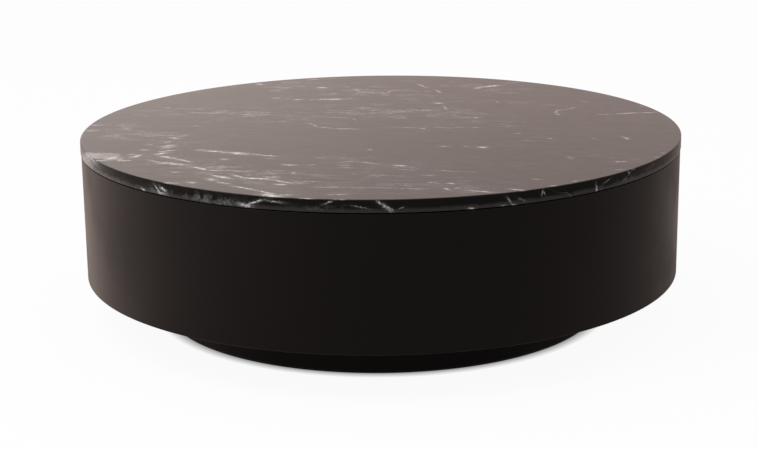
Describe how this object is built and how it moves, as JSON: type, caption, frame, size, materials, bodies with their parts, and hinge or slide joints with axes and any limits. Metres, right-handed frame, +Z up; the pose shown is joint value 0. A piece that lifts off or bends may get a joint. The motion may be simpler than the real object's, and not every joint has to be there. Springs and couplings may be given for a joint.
{
  "type": "round cocktail table",
  "caption": "Low round drum table: a loose black marble slab on a black lacquered drum over a recessed plinth with screw-adjusted levelling feet.",
  "frame": {"origin": "on the floor under the table's centre, at the feet's undersides", "axes": "+Z up, -Y to the front as pictured, +X to the right"},
  "size_m": [1.016, 1.016, 0.311],
  "materials": {
    "marble": "polished black marble with white veins; sawn underside",
    "silicone": "clear silicone",
    "drum_lacquer": "satin black lacquer on bent plywood, bare inside",
    "plinth_lacquer": "matt black lacquer on bent plywood, bare inside",
    "plywood": "bare birch plywood",
    "timber": "planed pine",
    "screw_steel": "yellow zinc-plated steel",
    "zinc_steel": "bright zinc-plated steel",
    "nylon": "black nylon"
  },
  "bodies": {
    "base": {"stone_bumpers": "silicone", "wall_front": "drum_lacquer", "wall_rear": "drum_lacquer", "plinth_band": "plinth_lacquer", "top_ring": "plywood", "bottom_panel": "plywood", "cross_rib_slot_up": "plywood", "cross_rib_slot_down": "plywood", "plinth_top_ring": "plywood", "plinth_bottom_ring": "plywood", "seam_post_right": "timber", "seam_post_left": "timber", "post_rear": "timber", "post_front": "timber", "ring_screws": "screw_steel", "panel_screws": "screw_steel", "plinth_screws": "screw_steel", "connector_bolts": "zinc_steel", "bolt_washers": "zinc_steel", "tee_nuts": "zinc_steel", "foot_inserts": "zinc_steel", "glue_block_1": "timber", "glue_block_2": "timber", "glue_block_3": "timber", "glue_block_4": "timber", "glue_block_5": "timber", "glue_block_6": "timber", "glue_block_7": "timber", "glue_block_8": "timber", "plinth_block_1": "timber", "plinth_block_2": "timber", "plinth_block_3": "timber", "plinth_block_4": "timber", "plinth_block_5": "timber", "plinth_block_6": "timber", "plinth_block_7": "timber", "plinth_block_8": "timber"},
    "top": {"stone_top": "marble"},
    "foot_rear_right": {"foot_base_rear_right": "nylon"},
    "stud_rear_right": {"foot_stud_rear_right": "zinc_steel"},
    "foot_rear_left": {"foot_base_rear_left": "nylon"},
    "stud_rear_left": {"foot_stud_rear_left": "zinc_steel"},
    "foot_front_left": {"foot_base_front_left": "nylon"},
    "stud_front_left": {"foot_stud_front_left": "zinc_steel"},
    "foot_front_right": {"foot_base_front_right": "nylon"},
    "stud_front_right": {"foot_stud_front_right": "zinc_steel"}
  },
  "joints": [
    {"name": "top_lift", "type": "slide", "parent": "base", "child": "top", "axis": [0, 0, 1], "range_m": [0, 0.3]},
    {"name": "foot_rear_right_height", "type": "slide", "parent": "base", "child": "foot_rear_right", "axis": [0, 0, -1], "range_m": [0, 0.0125]},
    {"name": "foot_rear_right_turn", "type": "hinge", "parent": "foot_rear_right", "child": "stud_rear_right", "pos_m": [0.22486, 0.22486, 0.01], "axis": [0, 0, -1], "range_deg": [0, 2880]},
    {"name": "foot_rear_left_height", "type": "slide", "parent": "base", "child": "foot_rear_left", "axis": [0, 0, -1], "range_m": [0, 0.0125]},
    {"name": "foot_rear_left_turn", "type": "hinge", "parent": "foot_rear_left", "child": "stud_rear_left", "pos_m": [-0.22486, 0.22486, 0.01], "axis": [0, 0, -1], "range_deg": [0, 2880]},
    {"name": "foot_front_left_height", "type": "slide", "parent": "base", "child": "foot_front_left", "axis": [0, 0, -1], "range_m": [0, 0.0125]},
    {"name": "foot_front_left_turn", "type": "hinge", "parent": "foot_front_left", "child": "stud_front_left", "pos_m": [-0.22486, -0.22486, 0.01], "axis": [0, 0, -1], "range_deg": [0, 2880]},
    {"name": "foot_front_right_height", "type": "slide", "parent": "base", "child": "foot_front_right", "axis": [0, 0, -1], "range_m": [0, 0.0125]},
    {"name": "foot_front_right_turn", "type": "hinge", "parent": "foot_front_right", "child": "stud_front_right", "pos_m": [0.22486, -0.22486, 0.01], "axis": [0, 0, -1], "range_deg": [0, 2880]}
  ],
  "couplings": [
    {"joint": "foot_rear_right_height", "follows": "foot_rear_right_turn", "m_per_rad": 0.00019894},
    {"joint": "foot_rear_left_height", "follows": "foot_rear_left_turn", "m_per_rad": 0.00019894},
    {"joint": "foot_front_left_height", "follows": "foot_front_left_turn", "m_per_rad": 0.00019894},
    {"joint": "foot_front_right_height", "follows": "foot_front_right_turn", "m_per_rad": 0.00019894}
  ]
}
